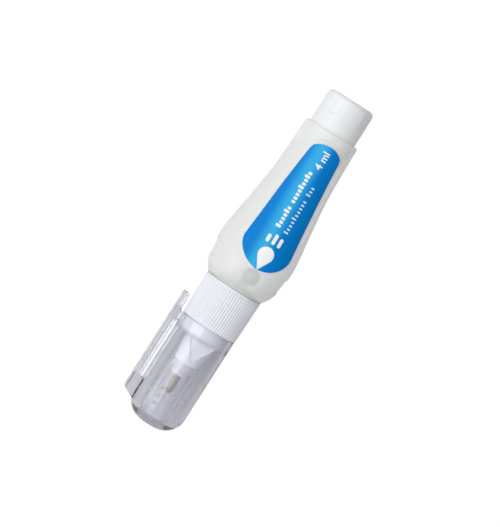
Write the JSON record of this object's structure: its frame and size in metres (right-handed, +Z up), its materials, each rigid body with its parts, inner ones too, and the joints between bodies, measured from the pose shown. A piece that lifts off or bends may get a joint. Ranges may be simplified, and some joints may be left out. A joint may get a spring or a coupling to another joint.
{
  "type": "correction fluid pen",
  "caption": "Squeeze-bottle correction pen with a clear clip cap, ribbed collar, metal writing tip, sprung valve needle and mixing ball.",
  "frame": {"origin": "on the desk under the middle of the pen, which lies on the widest part of its bottle with the label up", "axes": "+X along the pen from the capped tip to the end plug, +Z up out of the label, +Y towards the pocket clip"},
  "size_m": [0.1, 0.0218, 0.0218],
  "materials": {
    "clear_plastic": "clear polystyrene with a faint lilac tint, polished",
    "collar_plastic": "cool white moulded plastic, satin",
    "bottle_plastic": "slightly see-through white squeeze plastic, soft sheen",
    "plug_plastic": "white moulded plastic, satin",
    "label_print": "glossy blue printed film",
    "gasket_material": "soft olive-grey seal",
    "tip_metal": "drawn nickel-silver tube with a warm grey-green sheen",
    "needle_steel": "bright steel",
    "spring_steel": "drawn spring wire",
    "ball_steel": "polished steel",
    "housing_plastic": "natural acetal"
  },
  "bodies": {
    "pen": {"bottle": "bottle_plastic", "nozzle": "collar_plastic", "end_plug": "plug_plastic", "front_label": "label_print", "neck_gasket": "gasket_material", "metal_tip": "tip_metal", "valve_housing": "housing_plastic"},
    "cap": {"cap": "clear_plastic"},
    "needle": {"valve_needle": "needle_steel", "valve_spring": "spring_steel"},
    "ball": {"agitator_ball": "ball_steel"}
  },
  "joints": [
    {"name": "cap_pull", "type": "slide", "parent": "pen", "child": "cap", "axis": [-1, 0, 0], "range_m": [0, 0.04]},
    {"name": "needle_press", "type": "slide", "parent": "pen", "child": "needle", "axis": [1, 0, 0], "range_m": [0, 0.0006], "stiffness_N_per_m": 150, "springref_m": -0.002, "deforming": ["valve_spring"]},
    {"name": "ball_travel", "type": "slide", "parent": "pen", "child": "ball", "axis": [0.9975, 0.0082, -0.0706], "range_m": [0, 0.03308]}
  ]
}
